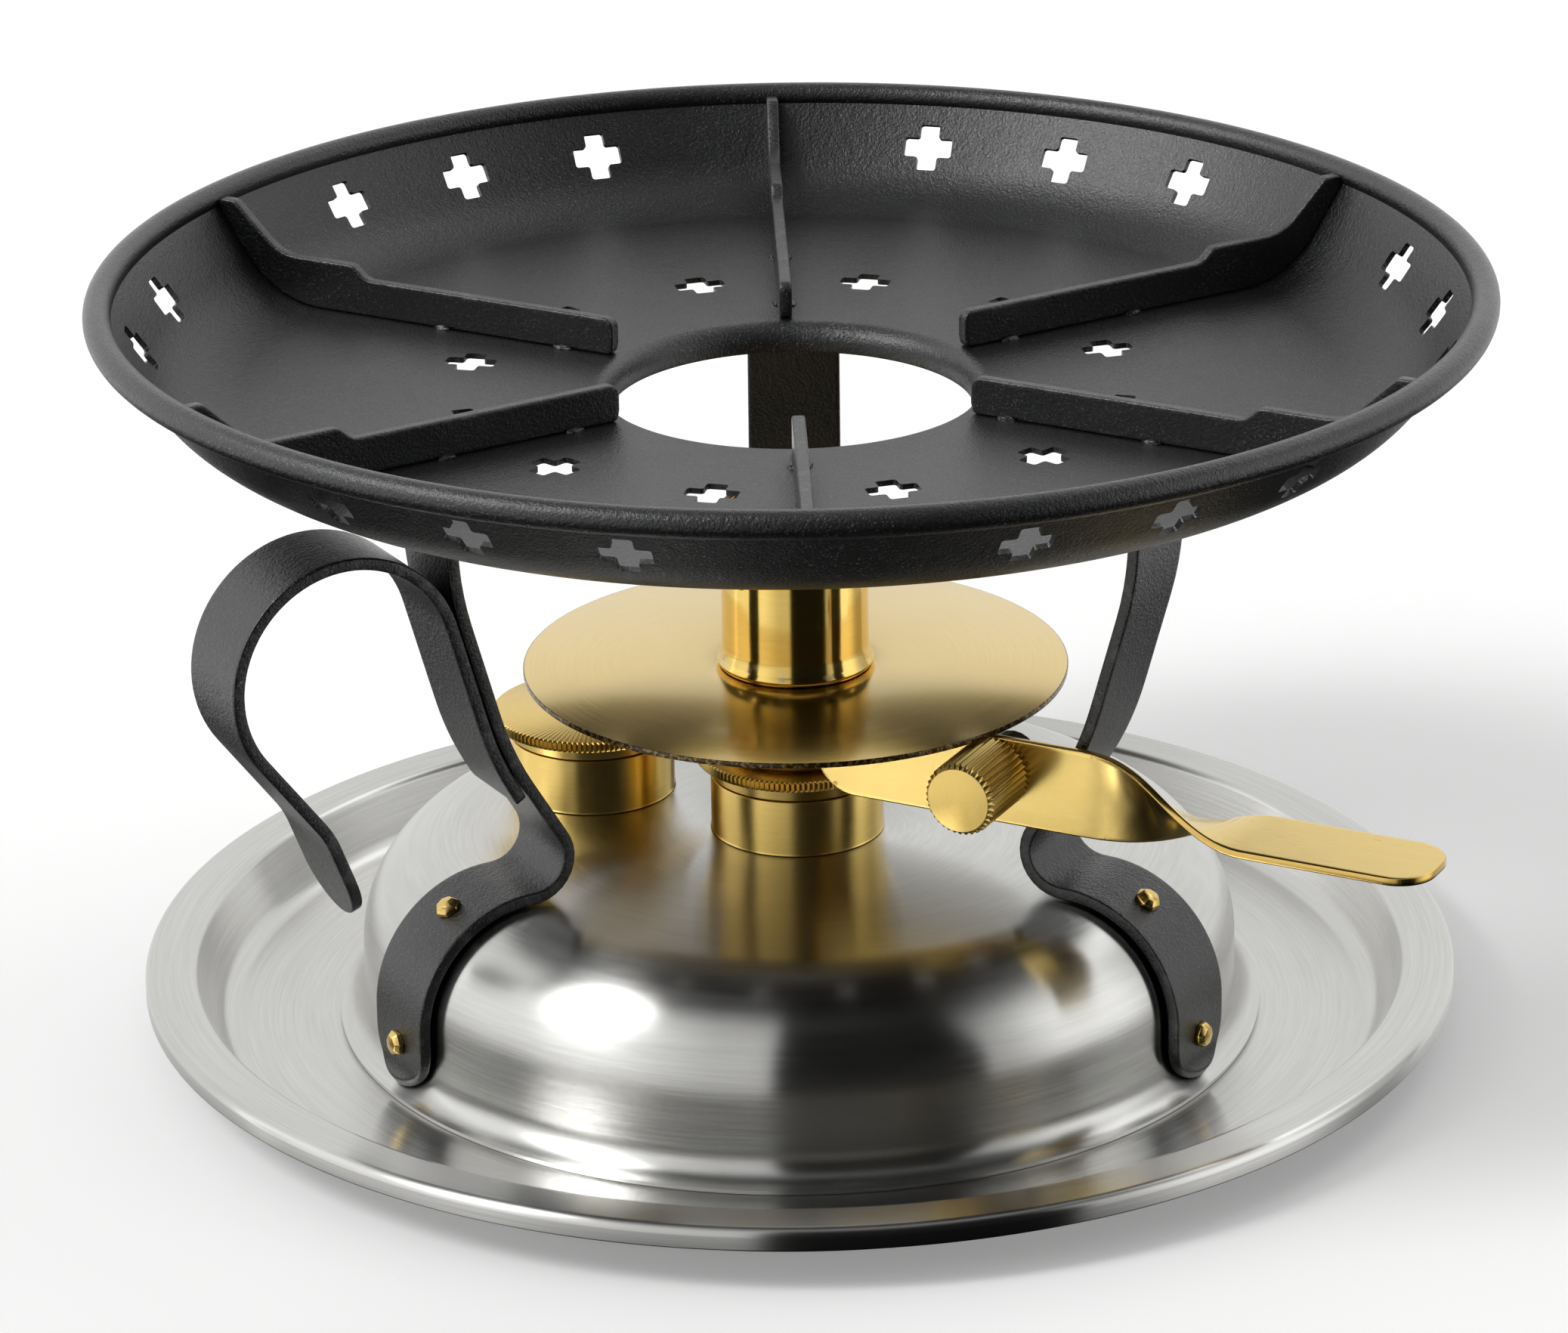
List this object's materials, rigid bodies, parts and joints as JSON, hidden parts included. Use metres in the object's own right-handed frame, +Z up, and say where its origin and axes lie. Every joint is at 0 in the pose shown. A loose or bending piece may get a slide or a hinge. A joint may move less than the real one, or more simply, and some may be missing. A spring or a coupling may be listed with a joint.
{
  "type": "tabletop spirit burner stand",
  "caption": "Round tabletop burner stand: a steel pan-support dish with radial ribs on strip legs over a domed fuel tank, a brass burner with a lever-turned flame regulator, and a drip tray.",
  "frame": {"origin": "on the table under the centre of the drip tray, which is the burner's axis", "axes": "+Z up along the burner's axis; -Y towards the viewer who has the handle on the left and the lever on the right; +X to that viewer's right"},
  "size_m": [0.25, 0.25, 0.1402],
  "materials": {
    "brushed_stainless": "circumferentially brushed stainless steel",
    "satin_brass": "satin turned brass",
    "polished_brass": "polished brass",
    "black_powder_coat": "satin black powder coat with fine texture",
    "blackened_steel": "blackened",
    "seal_rubber": "matt",
    "wick_cotton": "packed cotton",
    "glass_wadding": "glass-fibre wadding",
    "steel_gauze": "woven gauze"
  },
  "bodies": {
    "stand": {"drip_tray": "brushed_stainless", "tank_dome": "brushed_stainless", "tank_bottom": "brushed_stainless", "fuel_wadding": "glass_wadding", "burner_neck": "satin_brass", "filler_neck": "satin_brass", "support_dish": "black_powder_coat", "carry_handle": "black_powder_coat", "pan_rib_1": "black_powder_coat", "pan_rib_2": "black_powder_coat", "pan_rib_3": "black_powder_coat", "pan_rib_4": "black_powder_coat", "pan_rib_5": "black_powder_coat", "pan_rib_6": "black_powder_coat", "leg_back": "black_powder_coat", "leg_left": "black_powder_coat", "leg_right": "black_powder_coat", "rivet_back_low": "satin_brass", "rivet_back_high": "satin_brass", "rivet_left_low": "satin_brass", "rivet_left_high": "satin_brass", "rivet_right_low": "satin_brass", "rivet_right_high": "satin_brass"},
    "burner": {"burner_gasket": "seal_rubber", "burner_tube": "polished_brass", "wick": "wick_cotton", "flame_gauze": "steel_gauze"},
    "burner_collar": {"burner_collar": "satin_brass"},
    "regulator": {"regulator_hub": "satin_brass", "regulator_disc": "satin_brass", "regulator_sleeve": "polished_brass", "lever_bracket": "satin_brass", "clamp_nut": "blackened_steel", "regulator_lever": "satin_brass"},
    "thumb_screw": {"thumb_screw": "satin_brass"},
    "filler_seal": {"filler_seal": "seal_rubber"},
    "filler_cap": {"filler_cap": "satin_brass"}
  },
  "joints": [
    {"name": "burner_lift", "type": "slide", "parent": "stand", "child": "burner", "axis": [0, 0, 1], "range_m": [0, 0.0045]},
    {"name": "burner_collar_turn", "type": "hinge", "parent": "burner", "child": "burner_collar", "pos_m": [0, 0, 0.048], "axis": [0, 0, 1], "range_deg": [0, 1080]},
    {"name": "regulator_turn", "type": "hinge", "parent": "burner", "child": "regulator", "pos_m": [0, 0, 0.06], "axis": [0, 0, 1], "range_deg": [-60, 0]},
    {"name": "thumb_screw_turn", "type": "hinge", "parent": "regulator", "child": "thumb_screw", "pos_m": [0.03185, -0.04074, 0.0588], "axis": [-0.4509, -0.8926, 0], "range_deg": [0, 720]},
    {"name": "filler_cap_lift", "type": "slide", "parent": "stand", "child": "filler_seal", "axis": [0, 0, 1], "range_m": [0, 0.0045]},
    {"name": "filler_cap_turn", "type": "hinge", "parent": "filler_seal", "child": "filler_cap", "pos_m": [-0.038, 0.02, 0.048], "axis": [0, 0, 1], "range_deg": [0, 1080]}
  ],
  "couplings": [
    {"joint": "burner_collar_turn", "follows": "burner_lift", "rad_per_m": 4188.8},
    {"joint": "filler_cap_turn", "follows": "filler_cap_lift", "rad_per_m": 4188.8}
  ]
}
